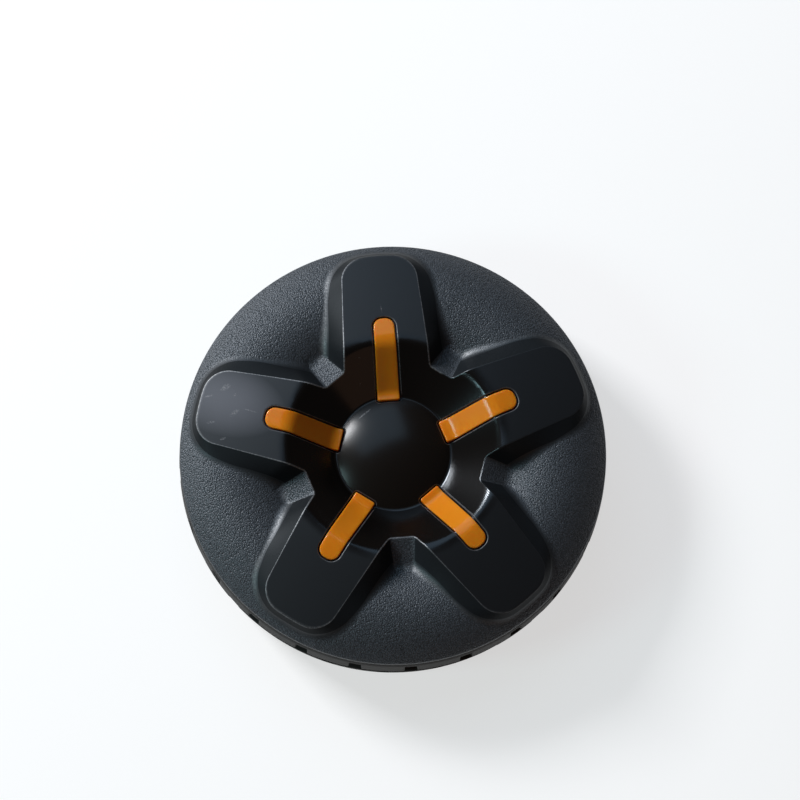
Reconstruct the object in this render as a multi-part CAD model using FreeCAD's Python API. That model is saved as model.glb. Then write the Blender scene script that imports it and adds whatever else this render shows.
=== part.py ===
# Drive wheel of a robotic mower, lying on its back with the star-shaped front cover up.
# +Z is the wheel's axis and points out of the front face; z = 0 is the back of the rim flange.
import FreeCAD, Part
import math
import os
from FreeCAD import Vector

# Overall sizes, in millimetres
wheel_radius = 102.0        # crown of the tread
tyre_width = 35.0
arm_count = 5
first_arm_deg = 90.0        # direction of arm 1, counted from +X
seam_deg = 273.0            # where turned surfaces close, in the valley opposite arm 1

# Clearances
round_gap = 0.3             # between curved faces of two pieces
slide_gap = 0.2             # along a snap hook or under a bar
peg_gap = 0.2               # round a bar's peg
touch = 0.01                # places nearer than this count as one
beyond = 1.0                # how far a cutting tool reaches past the face that it cuts

# Core: rim, web, hub and ribs
flange_thick = 3.0
flange_drop = 5.5           # edge of the flange below the crown of the tread
tread_thick = 10.3          # from the crown of the tread to the tyre's seat on the rim
rim_wall = 3.0
seat_groove_width = 7.0     # locates the tyre along the axis
seat_groove_depth = 1.5
web_back = 18.0
web_thick = 3.0
hub_wall = 2.8              # outside the corners of the bush
hub_back = 4.0
rib_count = 10
rib_thick = 2.4
rib_edge_hub = 5.5          # height of the rib's back edge at the hub
rib_edge_rim = 10.0         # and at the rim
gusset_reach = 30.0         # front gussets between hub and web

# Tyre
shoulder_drop = 1.0         # fall of the tread from crown to shoulder
shoulder_width = 4.0
side_drop = 3.5             # outer edge of the flat side faces below the crown
block_count = 24
groove_width = 6.0
groove_depth = 3.5
centre_groove_width = 3.0
shoulder_ring = 6.0         # unbroken band at each edge of the tread

# Drive bush and axle fasteners
bore_radius = 6.0
bush_flats = 22.0           # across the flats of the hexagon
bush_flange_thick = 2.0
flange_setback = 1.5        # edge of the bush's flange inside the hub's edge
pin_slot_width = 4.2
pin_slot_depth = 5.0
washer_setback = 2.0        # edge of the washer inside the hub's edge
washer_thick = 2.0
thread_radius = 4.0         # threaded end of the shaft that the nut fits
spring_washer_radius = 7.4
spring_washer_thick = 2.0
spring_washer_split = 1.2
nut_flats = 13.0
nut_thick = 6.0
nut_head_room = 2.0         # between the nut and the dome

# Front cover: disc
cover_drop = 1.5            # edge of the cover below the crown of the tread
cover_wall = 3.0
rim_lip_wall = 3.0
rim_edge_round = 0.6
disc_rise = 9.5             # crown and edge of the bulged disc above the tyre's front
disc_edge_rise = 1.4
disc_under = 4.5            # how far the disc runs on under the star

# Front cover: dome, bowl and arm tops
dome_rise = 7.7
crease_radius = 27.3        # circle where the dome meets the bowl
crease_drop = 2.7           # below the tyre's front
crease_round = 1.5
bowl_edge_radius = 50.0     # circle where the bowl meets the arm tops
bowl_edge_rise = 15.8       # above the tyre's front
bowl_edge_round = 7.0
arm_drop = 6.3              # fall of the arm tops from the bowl's edge to their ends

# Front cover: star outlines in plan, at the top edge and at the foot of the flanks
half_ref_in = 40.0          # distances from the axis at which an arm's half widths are given
half_ref_out = 80.0
top_star = {
    "valley": 42.5, "half_in": 20.2, "half_out": 18.0,
    "end_setback": 6.8, "valley_round": 2.5, "end_round": 12.0,
}
flank_spread = {"valley": 13.5, "half_in": 10.0, "half_out": 7.7}   # the foot outside the top edge
foot_star = {"end_setback": 4.1, "valley_round": 3.0, "end_round": 20.0}
foot_star.update({key: top_star[key] + spread for key, spread in flank_spread.items()})
outline_steps = {"valley": 2, "turn": 3, "side": 5, "corner": 4, "end": 2}
flank_inset = 1.2           # inner star behind the outer one, in plan
flank_over = 0.8            # how far the flanks are drawn above the top edge and below the foot
flank_under = 1.2
flank_stretches = 4         # faces along one arm's flank
top_edge_round = 0.8
foot_round = 3.0

# Front cover: seat on the rim, and snap hooks
seat_overlap = 1.7          # how far the seat reaches over the rim's front edge
spigot_wall = 2.0
spigot_depth = 5.0
hook_setback = 14.7         # inside the rim
hook_thick = 2.4
hook_width = 9.0
hook_barb = 1.6
hook_nose = 5.0

# Orange bars in the arms
bar_over_dome = 1.9         # reach of the bar's inner end over the dome
bar_over_arm = 11.5         # and of its outer end along the arm top
bar_half_inner = 5.25
bar_half_outer = 4.9
bar_end_round = 4.2
bar_inner_round = 0.8
bar_proud = 0.2
bar_slot_gap = 0.8
bar_slot_depth = 1.8
peg_radius = 1.5
peg_outer_setback = 6.5     # of the two pegs from the ends of the bar
peg_inner_setback = 11.6
peg_boss_wall = 1.7
peg_boss_drop = 1.0         # height of a peg's boss below the lowest wall beside it
peg_head_radius = 2.4
peg_head_thick = 0.9

# Heights and radii that follow from the sizes above
tyre_front = flange_thick + tyre_width
tyre_middle = flange_thick + tyre_width / 2
flange_radius = wheel_radius - flange_drop
rim_radius = wheel_radius - tread_thick
rim_inner = rim_radius - rim_wall
side_radius = wheel_radius - side_drop
cover_radius = wheel_radius - cover_drop
disc_inner = foot_star["valley"] - disc_under
disc_crown_radius = (disc_inner + cover_radius) / 2
web_front = web_back + web_thick
hub_radius = bush_flats / math.sqrt(3) + hub_wall
crease_z = tyre_front - crease_drop
dome_apex = crease_z + dome_rise
nut_front = dome_apex - cover_wall - nut_head_room
nut_back = nut_front - nut_thick
hub_front = nut_back - spring_washer_thick - washer_thick
hook_radius = rim_inner - hook_setback
bar_inner = crease_radius - bar_over_dome
bar_outer = bowl_edge_radius + bar_over_arm
peg_places = (bar_inner + peg_inner_setback, bar_outer - peg_outer_setback)
arm_step = 360.0 / arm_count
axis_z = Vector(0, 0, 1)
origin = Vector(0, 0, 0)


# Small helpers
def turned(shape, angle):
    copy = shape.copy()
    copy.rotate(origin, axis_z, angle)
    return copy


def revolved(points):
    # closed polygon of (radius, height) pairs, turned about the axis
    corners = [Vector(radius, 0, height) for radius, height in points]
    solid = Part.Face(Part.makePolygon(corners + corners[:1])).revolve(origin, axis_z, 360)
    return turned(solid, seam_deg)


def ring(inner, outer, low, high):
    return revolved([(inner, low), (outer, low), (outer, high), (inner, high)])


def tube_cylinder(radius, low, high, centre=origin):
    return Part.makeCylinder(radius, high - low, Vector(centre.x, centre.y, low), axis_z)


def hexagon(flats, low, high):
    corner = flats / math.sqrt(3)
    corners = [Vector(corner * math.cos(math.radians(60 * k)), corner * math.sin(math.radians(60 * k)), low)
               for k in range(7)]
    return Part.Face(Part.makePolygon(corners)).extrude(Vector(0, 0, high - low))


def upright_plate(points, thick):
    # polygon of (radius, height) pairs in the plane through the axis and +X, with its thickness across it
    corners = [Vector(radius, -thick / 2, height) for radius, height in points]
    return Part.Face(Part.makePolygon(corners + corners[:1])).extrude(Vector(0, thick, 0))


def arm_angle(index):
    return first_arm_deg + arm_step * index


def on_each_arm(shape):
    # a shape drawn along +X, copied to all arms
    return [turned(shape, arm_angle(index)) for index in range(arm_count)]


def line_circle_fillet(point, direction, inward, centre, radius, fillet):
    # arc that rounds the corner between a line leaving a circle and the circle itself
    start = point + inward * fillet - centre
    along = start.dot(direction)
    reach = math.sqrt(along ** 2 - start.dot(start) + (radius - fillet) ** 2) - along
    middle = start + direction * reach
    outward = Vector(middle)
    outward.normalize()
    return middle + centre, middle + centre - inward * fillet, centre + outward * radius


# Section of the cover's top: dome, bowl, rounded bowl edge and arm top (x is the radius, z the height)
crease = Vector(crease_radius, 0, crease_z)
bowl_edge = Vector(bowl_edge_radius, 0, tyre_front + bowl_edge_rise)
dome_round = (crease_radius ** 2 + dome_rise ** 2) / (2 * dome_rise)
dome_centre = Vector(0, 0, dome_apex - dome_round)
arm_end_radius = cover_radius - top_star["end_setback"]
arm_depth = (arm_end_radius ** 2 - bowl_edge_radius ** 2 + arm_drop ** 2) / (2 * arm_drop)
arm_round = math.hypot(bowl_edge_radius, arm_depth)     # ball that the arm tops lie on
arm_centre = Vector(0, 0, bowl_edge.z - arm_depth)
bowl_up = bowl_edge - crease
bowl_up.normalize()
bowl_in = Vector(bowl_up.z, 0, -bowl_up.x)
crease_centre, crease_stop, crease_start = line_circle_fillet(
    crease, bowl_up, bowl_in, dome_centre, dome_round, -crease_round)
edge_centre, edge_start, edge_end = line_circle_fillet(
    crease, bowl_up, bowl_in, arm_centre, arm_round, bowl_edge_round)

# Section of the bulged disc
disc_sag = disc_rise - disc_edge_rise
disc_round = ((cover_radius - disc_crown_radius) ** 2 + disc_sag ** 2) / (2 * disc_sag)
disc_centre_z = tyre_front + disc_rise - disc_round


def top_height(radius):
    if radius < crease_start.x:
        return dome_centre.z + math.sqrt(dome_round ** 2 - radius ** 2)
    if radius < crease_stop.x:
        return crease_centre.z - math.sqrt(crease_round ** 2 - (radius - crease_centre.x) ** 2)
    if radius < edge_start.x:
        return crease_z + (radius - crease_radius) * bowl_up.z / bowl_up.x
    if radius < edge_end.x:
        return edge_centre.z + math.sqrt(bowl_edge_round ** 2 - (radius - edge_centre.x) ** 2)
    return arm_centre.z + math.sqrt(arm_round ** 2 - radius ** 2)


def disc_height(radius):
    return disc_centre_z + math.sqrt(disc_round ** 2 - (radius - disc_crown_radius) ** 2)


def section_arc(height, start, stop, shift):
    # arc of a section curve between two radii, through a point halfway
    middle = (start + stop) / 2
    places = [Vector(radius, 0, height(radius) + shift) for radius in (start, middle, stop)]
    return Part.Arc(*places).toShape()


def turned_section(edges, corners):
    # edges of the upper section, then straight lines through the corners back to the start
    first = edges[0].valueAt(edges[0].FirstParameter)
    last = edges[-1].valueAt(edges[-1].LastParameter)
    places = [last] + [Vector(radius, 0, height) for radius, height in corners] + [first]
    lines = [Part.LineSegment(a, b).toShape() for a, b in zip(places, places[1:])]
    solid = Part.Face(Part.Wire(edges + lines)).revolve(origin, axis_z, 360)
    return turned(solid, seam_deg)


def under_top(outer, low, shift=0.0):
    # everything below the dome, the bowl and the arm tops
    edges = [
        section_arc(top_height, 0, crease_start.x, shift),
        section_arc(top_height, crease_start.x, crease_stop.x, shift),
        Part.LineSegment(crease_stop + axis_z * shift, edge_start + axis_z * shift).toShape(),
        section_arc(top_height, edge_start.x, edge_end.x, shift),
        section_arc(top_height, edge_end.x, outer, shift),
    ]
    return turned_section(edges, [(outer, low), (0, low)])


def under_disc(inner, outer, low, shift=0.0):
    # everything below the bulged disc
    edges = [section_arc(disc_height, inner, outer, shift)]
    return turned_section(edges, [(outer, low), (inner, low)])


# Star outlines in the arm's own plan: x to the arm's right, y outwards
def arc_places(centre, start, stop, count):
    first = math.atan2(start.y - centre.y, start.x - centre.x)
    sweep = math.atan2(stop.y - centre.y, stop.x - centre.x) - first
    sweep = (sweep + math.pi) % (2 * math.pi) - math.pi
    radius = (start - centre).Length
    angles = [first + sweep * k / count for k in range(1, count + 1)]
    return [centre + Vector(math.cos(a), math.sin(a), 0) * radius for a in angles]


def line_places(start, stop, count):
    return [start + (stop - start) * (k / count) for k in range(1, count + 1)]


def half_outline(star, inset):
    # right half of one arm, from the middle of the valley to the middle of the arm's end
    half_turn = math.radians(arm_step / 2)
    valley_out = Vector(math.sin(half_turn), math.cos(half_turn), 0)
    valley_along = Vector(-math.cos(half_turn), math.sin(half_turn), 0)
    valley = star["valley"] - inset
    end = cover_radius - star["end_setback"] - inset
    lean = (star["half_out"] - star["half_in"]) / (half_ref_out - half_ref_in)
    side_point = Vector(star["half_in"] - inset, half_ref_in, 0)
    side_along = Vector(lean, 1, 0)
    side_along.normalize()
    inward = Vector(-side_along.y, side_along.x, 0)
    reach = (valley - side_point.dot(valley_out)) / side_along.dot(valley_out)
    corner = side_point + side_along * reach
    half_angle = valley_along.getAngle(side_along) / 2
    tangent = star["valley_round"] * math.tan(half_angle)
    turn_start = corner - valley_along * tangent
    turn_stop = corner + side_along * tangent
    turn_centre = turn_stop - inward * star["valley_round"]
    end_centre, side_stop, end_start = line_circle_fillet(
        side_point, side_along, inward, origin, end, star["end_round"])
    places = [valley_out * valley]
    places += line_places(places[-1], turn_start, outline_steps["valley"])
    places += arc_places(turn_centre, turn_start, turn_stop, outline_steps["turn"])
    places += line_places(turn_stop, side_stop, outline_steps["side"])
    places += arc_places(end_centre, side_stop, end_start, outline_steps["corner"])
    places += arc_places(origin, end_start, Vector(0, end, 0), outline_steps["end"])
    return places


def full_outline(star, inset, height):
    # one arm from valley to valley, at the height of the surface that the outline lies on
    right = half_outline(star, inset)
    left = [Vector(-place.x, place.y, 0) for place in reversed(right)]
    return [place + axis_z * height(place.Length) for place in right + left[1:]]


def arm_flank(inset, shift):
    # straight lines from the top edge to the foot, drawn on a little at both ends
    tops = full_outline(top_star, inset, top_height)
    feet = full_outline(foot_star, inset, disc_height)
    high = [top + (top - foot) * (flank_over / (top.z - foot.z)) for top, foot in zip(tops, feet)]
    low = [foot + (foot - top) * (flank_under / (top.z - foot.z)) for top, foot in zip(tops, feet)]
    spacing = [0.0]
    for k in range(1, len(high)):
        spacing.append(spacing[-1] + ((high[k] - high[k - 1]).Length + (low[k] - low[k - 1]).Length) / 2)
    curves = []
    for places in (high, low):
        curve = Part.BSplineCurve()
        curve.interpolate(Points=[place + axis_z * shift for place in places], Parameters=spacing)
        curves.append(curve)
    cuts = [spacing[k] for k in range(0, len(spacing), (len(spacing) - 1) // flank_stretches)]
    stretches = zip(cuts, cuts[1:])
    return [Part.makeRuledSurface(*[curve.toShape(*stretch) for curve in curves]) for stretch in stretches]


def star_solid(outer, low, inset=0.0, shift=0.0):
    # what the flanks cut out of the space between the disc and the arm tops
    space = under_top(outer, low, shift).cut(under_disc(disc_inner - inset, outer + beyond, 0, shift))
    faces = arm_flank(inset, shift)
    flanks = [turned(face, arm_angle(index) - 90) for index in range(arm_count) for face in faces]
    pieces = space.generalFuse(flanks)[0].Solids
    below_dome = Vector(0, 0, dome_apex + shift - beyond)
    return [piece for piece in pieces if piece.isInside(below_dome, touch, True)][0]


# Picking faces and edges by where they lie
def border(faces):
    # edges that belong to one of the faces only
    edges = [edge for face in faces for edge in face.Edges]
    return [edge for edge in edges if sum(edge.isSame(other) for other in edges) == 1]


def middle_place(edge):
    return edge.valueAt((edge.FirstParameter + edge.LastParameter) / 2)


def lies_on(edge, height):
    place = middle_place(edge)
    return abs(place.z - height(math.hypot(place.x, place.y))) < touch


def on_rim(edge):
    place = middle_place(edge)
    return abs(math.hypot(place.x, place.y) - cover_radius) < touch


def same_edges(shape, edges):
    # the edges of a changed shape that lie where the given ones lay
    places = [middle_place(edge) for edge in edges]
    return [edge for edge in shape.Edges if any(middle_place(edge).isEqual(place, touch) for place in places)]


# Pieces
def make_tyre():
    inner = rim_radius + round_gap
    edge = wheel_radius - shoulder_drop
    rib_half = seat_groove_width / 2 - round_gap
    rib_inner = inner - seat_groove_depth
    back, front = flange_thick, tyre_front
    tyre = revolved([
        (side_radius, back), (edge, back + shoulder_width), (wheel_radius, tyre_middle),
        (edge, front - shoulder_width), (side_radius, front),
        (inner, front), (inner, tyre_middle + rib_half), (rib_inner, tyre_middle + rib_half),
        (rib_inner, tyre_middle - rib_half), (inner, tyre_middle - rib_half), (inner, back),
    ])
    floor = wheel_radius - groove_depth
    outside = wheel_radius + beyond
    centre_half = centre_groove_width / 2
    cuts = [ring(floor, outside, tyre_middle - centre_half, tyre_middle + centre_half)]
    length = tyre_width / 2 - shoulder_ring
    for index in range(block_count):
        for low, stagger in ((tyre_middle, 0.0), (tyre_middle - length, 0.5)):
            slot = Part.makeBox(outside - floor, groove_width, length, Vector(floor, -groove_width / 2, low))
            cuts.append(turned(slot, 360 / block_count * (index + stagger)))
    return tyre.cut(cuts)


def hook_window():
    # hole in the web that a hook passes, with room for the barb when the hook bends inwards
    low = hook_radius - hook_barb - slide_gap
    high = hook_radius + hook_thick + slide_gap
    width = hook_width + 2 * slide_gap
    return Part.makeBox(high - low, width, web_thick, Vector(low, -width / 2, web_back))


def make_core():
    rim = ring(rim_inner, rim_radius, 0, tyre_front)
    flange = ring(rim_inner, flange_radius, 0, flange_thick)
    web = ring(hub_radius / 2, rim_inner + rim_wall / 2, web_back, web_front)
    hub = tube_cylinder(hub_radius, hub_back, hub_front)
    rib = upright_plate([(hub_radius / 2, rib_edge_hub), (rim_inner + rim_wall / 2, rib_edge_rim),
                         (rim_inner + rim_wall / 2, web_front), (hub_radius / 2, web_front)], rib_thick)
    gusset = upright_plate([(hub_radius / 2, web_back), (hub_radius + gusset_reach, web_back),
                            (hub_radius + gusset_reach, web_front), (hub_radius, hub_front - washer_thick),
                            (hub_radius / 2, hub_front - washer_thick)], rib_thick)
    rib_step = 360.0 / rib_count
    ribs = [turned(rib, first_arm_deg + rib_step * (k + 0.5)) for k in range(rib_count)]
    gussets = [turned(shape, arm_step / 2) for shape in on_each_arm(gusset)]
    core = rim.fuse([flange, web, hub] + ribs + gussets)
    groove = ring(rim_radius - seat_groove_depth, rim_radius + beyond,
                  tyre_middle - seat_groove_width / 2, tyre_middle + seat_groove_width / 2)
    socket = hexagon(bush_flats, hub_back - beyond, hub_front + beyond)
    return core.cut([groove, socket] + on_each_arm(hook_window())).removeSplitter()


def make_drive_bush():
    low = hub_back - bush_flange_thick
    flange = tube_cylinder(hub_radius - flange_setback, low, hub_back)
    body = hexagon(bush_flats, hub_back, hub_front).fuse(flange)
    bore = tube_cylinder(bore_radius, low - beyond, hub_front + beyond)
    slot = Part.makeBox(2 * wheel_radius, pin_slot_width, pin_slot_depth,
                        Vector(-wheel_radius, -pin_slot_width / 2, low))
    return body.cut([bore, slot]).removeSplitter()


def make_axle_washer():
    return ring(thread_radius + round_gap, hub_radius - washer_setback, hub_front, hub_front + washer_thick)


def make_spring_washer():
    low = hub_front + washer_thick
    split = Part.makeBox(2 * spring_washer_radius, spring_washer_split, spring_washer_thick,
                         Vector(0, -spring_washer_split / 2, low))
    return ring(thread_radius + round_gap, spring_washer_radius, low, nut_back).cut(split)


def make_axle_nut():
    corner = nut_flats / math.sqrt(3)
    chamfer = corner - nut_flats / 2
    blank = hexagon(nut_flats, nut_back, nut_front)
    turned_down = revolved([(0, nut_back), (corner, nut_back), (corner, nut_front - chamfer / 2),
                            (nut_flats / 2, nut_front), (0, nut_front)])
    return blank.common(turned_down).cut(tube_cylinder(thread_radius, nut_back - beyond, nut_front + beyond))


def bar_plan(gap):
    # plan of a bar, or of its slot, as a tall prism along +X
    inner, outer = bar_inner - gap, bar_outer + gap
    half_inner, half_outer = bar_half_inner + gap, bar_half_outer + gap
    corners = [Vector(inner, -half_inner, 0), Vector(outer, -half_outer, 0),
               Vector(outer, half_outer, 0), Vector(inner, half_inner, 0)]
    prism = Part.Face(Part.makePolygon(corners + corners[:1])).extrude(Vector(0, 0, bowl_edge.z + beyond))
    upright = [edge for edge in prism.Edges if edge.BoundBox.ZLength > touch]
    far = [edge for edge in upright if edge.CenterOfMass.x > (inner + outer) / 2]
    near = [edge for edge in upright if edge.CenterOfMass.x < (inner + outer) / 2]
    prism = prism.makeFillet(bar_end_round + gap, far)
    return prism.makeFillet(bar_inner_round + gap, same_edges(prism, near))


def bar_skin(low_shift, high_shift):
    # layer that follows the dome, the bowl and the arm tops between two heights above their surface
    reach = bar_outer + bar_end_round
    return under_top(reach, 0, high_shift).cut(under_top(reach, 0, low_shift))


def peg_seat(place):
    # height of the flat end of a peg's boss, below the lowest wall beside the boss
    return top_height(place - peg_radius - peg_boss_wall) - cover_wall - peg_boss_drop


def peg_cylinder(place, radius, low, high):
    return tube_cylinder(radius, low, high, Vector(place, 0, 0))


def make_bar():
    bar = bar_plan(0).common(bar_skin(slide_gap - bar_slot_depth, bar_proud))
    for place in peg_places:
        seat = peg_seat(place)
        peg = peg_cylinder(place, peg_radius, seat - peg_head_thick / 2, top_height(place) + peg_radius)
        peg = peg.common(under_top(bar_outer, 0, -bar_slot_depth / 2))
        bar = bar.fuse([peg, peg_cylinder(place, peg_head_radius, seat - peg_head_thick, seat)])
    return bar.removeSplitter()


def cover_hook():
    # snap hook under an arm, with its barb below the web
    inner, outer = hook_radius, hook_radius + hook_thick
    top = top_height(outer) - cover_wall / 2
    catch = web_back - slide_gap
    return upright_plate([(inner, top), (inner, catch - hook_nose), (outer, catch - hook_nose),
                          (outer + hook_barb, catch - hook_barb / 2), (outer + hook_barb, catch),
                          (outer, catch), (outer, top)], hook_width)


def cover_body():
    # outer form of the cover, with its rounded edges
    bowl_low = crease_z - cover_wall - beyond
    body = under_disc(disc_inner, cover_radius, tyre_front).fuse(star_solid(cover_radius, bowl_low))
    body = body.removeSplitter().Solids[0]
    flanks = [face for face in body.Faces if face.Surface.TypeId == "Part::GeomBSplineSurface"]
    edges = border(flanks)
    top_edges = [edge for edge in edges if lies_on(edge, top_height)]
    foot_edges = [edge for edge in edges if lies_on(edge, disc_height)]
    rim_edges = [edge for edge in body.Edges if on_rim(edge) and lies_on(edge, disc_height)]
    for edges, fillet in ((foot_edges, foot_round), (top_edges, top_edge_round), (rim_edges, rim_edge_round)):
        body = body.makeFillet(fillet, same_edges(body, edges))
    return body


def seat_rings():
    # wall that stands on the rim's front edge, with a spigot inside the rim
    inner = rim_inner - round_gap - spigot_wall
    outer = rim_inner + seat_overlap
    top = disc_height(outer) - cover_wall / 3
    low = tyre_front - spigot_depth
    return revolved([(inner, low), (inner + spigot_wall, low), (inner + spigot_wall, tyre_front),
                     (outer, tyre_front), (outer, top), (inner, top)])


def peg_boss(place):
    # boss under a slot's floor, with a flat end for the peg's head
    boss = peg_cylinder(place, peg_radius + peg_boss_wall, peg_seat(place), top_height(place) + peg_boss_wall)
    return boss.common(under_top(bar_outer, 0, -(bar_slot_depth + cover_wall) / 2))


def make_cover():
    inside = cover_radius - rim_lip_wall
    hollow = under_disc(disc_inner - flank_inset, inside, 0, -cover_wall)
    hollow = hollow.fuse(star_solid(inside, 0, flank_inset, -cover_wall))
    slot = bar_plan(bar_slot_gap).common(bar_skin(-bar_slot_depth, bar_slot_depth))
    added = [seat_rings()] + on_each_arm(cover_hook())
    removed = on_each_arm(slot)
    for place in peg_places:
        added += on_each_arm(peg_boss(place))
        removed += on_each_arm(peg_cylinder(place, peg_radius + peg_gap, 0, bowl_edge.z))
    return cover_body().cut(hollow).fuse(added).cut(removed)


os.makedirs("parts", exist_ok=True)
pieces = {
    "wheel_cover": make_cover(),
    "wheel_core": make_core(),
    "tyre": make_tyre(),
    "drive_bush": make_drive_bush(),
    "axle_washer": make_axle_washer(),
    "spring_washer": make_spring_washer(),
    "axle_nut": make_axle_nut(),
}
bar = make_bar()
for index in range(arm_count):
    pieces["accent_insert_%d" % (index + 1)] = turned(bar, arm_angle(index))
for name, shape in pieces.items():
    print(name, shape.isValid(), len(shape.Solids), round(shape.Volume))
    shape.exportStep("parts/%s.step" % name)
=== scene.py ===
# Looks of a robotic mower's drive wheel: moulded cover, orange bars, rubber tread, core and axle fittings
import math

import bpy
import numpy as np
from mathutils import Matrix, Vector


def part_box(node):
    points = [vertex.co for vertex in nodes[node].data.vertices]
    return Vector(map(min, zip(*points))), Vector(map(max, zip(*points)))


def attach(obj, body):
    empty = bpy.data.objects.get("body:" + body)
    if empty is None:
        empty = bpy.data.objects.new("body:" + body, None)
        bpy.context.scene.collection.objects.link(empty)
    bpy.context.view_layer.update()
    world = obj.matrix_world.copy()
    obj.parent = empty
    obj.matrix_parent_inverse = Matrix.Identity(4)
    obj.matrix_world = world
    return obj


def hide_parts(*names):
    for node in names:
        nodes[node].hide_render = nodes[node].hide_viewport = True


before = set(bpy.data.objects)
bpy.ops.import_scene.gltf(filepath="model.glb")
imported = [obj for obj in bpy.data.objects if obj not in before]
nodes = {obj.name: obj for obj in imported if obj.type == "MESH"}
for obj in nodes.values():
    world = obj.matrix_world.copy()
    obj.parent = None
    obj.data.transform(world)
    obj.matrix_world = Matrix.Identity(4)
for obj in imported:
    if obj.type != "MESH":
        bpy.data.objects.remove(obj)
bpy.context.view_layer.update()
mm = 0.001
print("frame loaded with", len(nodes), "nodes")

# what the frame gives, in millimetres
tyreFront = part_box("tyre")[1].z / mm
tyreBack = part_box("tyre")[0].z / mm
coverRadius = (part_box("wheel_cover")[1].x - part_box("wheel_cover")[0].x) / 2 / mm


# shader maths as Python expressions
class Value:
    def __init__(self, finish, socket):
        self.finish = finish
        self.socket = socket

    def maths(self, operation, first, second):
        return self.finish.add("ShaderNodeMath", {"operation": operation}, [first, second])

    def __add__(self, other):
        return self.maths("ADD", self, other)

    def __sub__(self, other):
        return self.maths("SUBTRACT", self, other)

    def __rsub__(self, other):
        return self.maths("SUBTRACT", other, self)

    def __mul__(self, other):
        return self.maths("MULTIPLY", self, other)

    def __pow__(self, other):
        return self.maths("POWER", self, other)

    __radd__ = __add__
    __rmul__ = __mul__


class Finish:
    def __init__(self, name, **constants):
        self.material = bpy.data.materials.new(name)
        self.material.use_nodes = True
        self.tree = self.material.node_tree
        self.shader = self.tree.nodes["Principled BSDF"]
        self.set(**constants)

    def set(self, **sockets):
        # the shader's sockets by name, with _ for a space
        for key, value in sockets.items():
            self.feed(self.shader.inputs[key.replace("_", " ")], value)

    def feed(self, socket, value):
        if isinstance(value, Value):
            self.tree.links.new(value.socket, socket)
        else:
            socket.default_value = value

    def add(self, kind, settings, inputs, output=0):
        node = self.tree.nodes.new(kind)
        for key, value in settings.items():
            if key == "stops":
                self.setStops(node.color_ramp, value)
            else:
                setattr(node, key, value)
        for key, value in inputs.items() if isinstance(inputs, dict) else enumerate(inputs):
            self.feed(node.inputs[key], value)
        return Value(self, node.outputs[output])

    def setStops(self, ramp, stops):
        while len(ramp.elements) < len(stops):
            ramp.elements.new(1.0)
        for element, (place, shade) in zip(ramp.elements, stops):
            element.position = place
            element.color = (shade, shade, shade, 1.0)

    def place(self):
        return self.add("ShaderNodeTexCoord", {}, {}, "Object")

    def plan(self):
        # x and y of the place, in metres
        return [self.add("ShaderNodeSeparateXYZ", {}, [self.place()], axis) for axis in range(2)]

    def noise(self, scale, detail, roughness, vector=None):
        inputs = {"Vector": vector or self.place(), "Scale": scale, "Detail": detail, "Roughness": roughness}
        return self.add("ShaderNodeTexNoise", {}, inputs)

    def ramp(self, value, stops):
        return self.add("ShaderNodeValToRGB", {"stops": stops}, [value])

    def mix(self, factor, first, second):
        # the node's colour inputs are 6 and 7, its colour output is 2
        return self.add("ShaderNodeMix", {"data_type": "RGBA"}, {0: factor, 6: first, 7: second}, 2)

    def attribute(self, name):
        return self.add("ShaderNodeAttribute", {"attribute_name": name}, {}, "Fac")

    def bump(self, height, strength, distance):
        inputs = {"Height": height, "Strength": strength, "Distance": distance}
        return self.add("ShaderNodeBump", {}, inputs)


# a mesh object from points in millimetres
def addPiece(name, points, faces, finish=None, slot=None):
    mesh = bpy.data.meshes.new(name)
    mesh.from_pydata((np.asarray(points) * mm).tolist(), [], faces)
    mesh.validate()
    piece = bpy.data.objects.new(name, mesh)
    bpy.context.scene.collection.objects.link(piece)
    if finish:
        mesh.materials.append(finish.material)
    if slot:
        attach(piece, "root")
    return piece


def setMask(mesh, name, values):
    mesh.attributes.new(name, "FLOAT", "POINT").data.foreach_set("value", np.asarray(values, np.float32))


def smoothShade(mesh, sharpDegrees):
    mesh.shade_smooth()
    mesh.set_sharp_from_angle(angle=math.radians(sharpDegrees))


# front cover: sizes in millimetres
coverForm = {
    "armCount": 5, "firstArm": 90.0,
    "creaseRadius": 27.3, "creaseDrop": 2.7, "creaseRound": 1.5, "domeRise": 6.7,
    "bowlEdgeRadius": 50.0, "bowlEdgeRise": 15.8, "bowlEdgeRound": 4.5, "armDrop": 6.3,
    "discRise": 9.5, "discEdgeRise": 1.4, "discInner": 51.5,
    "topEdgeRound": 0.8, "footRound": 6.5, "rimRound": 0.6, "wall": 3.0, "lipStep": 0.02,
    "halfRefIn": 40.0, "halfRefOut": 80.0, "sharpDegrees": 40,
}
# plan of the star's top edge and foot, with half widths at halfRefIn and halfRefOut from the axis
topStar = {
    "valley": 42.5, "halfIn": 20.2, "halfOut": 18.0, "end": coverRadius - 6.8, "turn": 2.5, "corner": 12.0,
}
footStar = {
    "valley": 56.0, "halfIn": 30.2, "halfOut": 25.7, "end": coverRadius - 4.1, "turn": 3.0, "corner": 20.0,
}
# points along half an arm's outline, then rows of points over the face and over the underside
outlineSteps = {"valley": 3, "turn": 7, "side": 16, "corner": 12, "end": 5}
rowSteps = {"dome": 22, "crease": 6, "bowl": 84, "edge": 5, "flank": 8, "foot": 10, "disc": 24, "rim": 5}
underSteps = {"dome": 8, "crease": 3, "bowl": 14, "edge": 2, "flank": 4, "foot": 4, "disc": 7}
# lines along the star's edges and feet: shares at each arm's right side, end and left side; the edge line is
# a lighter colour, partly edge wear and partly a painted highlight of the edge's round, strongest on sides
# that face the key; the foot line is coat only
edgeWearAndHighlight = [(0.6, 0.1, 1.0), (1.0, 0.8, 0.8), (1.0, 0.5, 0.7), (0.5, 0.0, 0.0), (0.0, 0.0, 0.0)]
footWear = [(0.0, 0.0, 1.0), (0.1, 0.0, 0.0), (1.0, 0.0, 0.0), (0.5, 0.0, 0.0), (0.0, 0.0, 0.6)]
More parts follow.
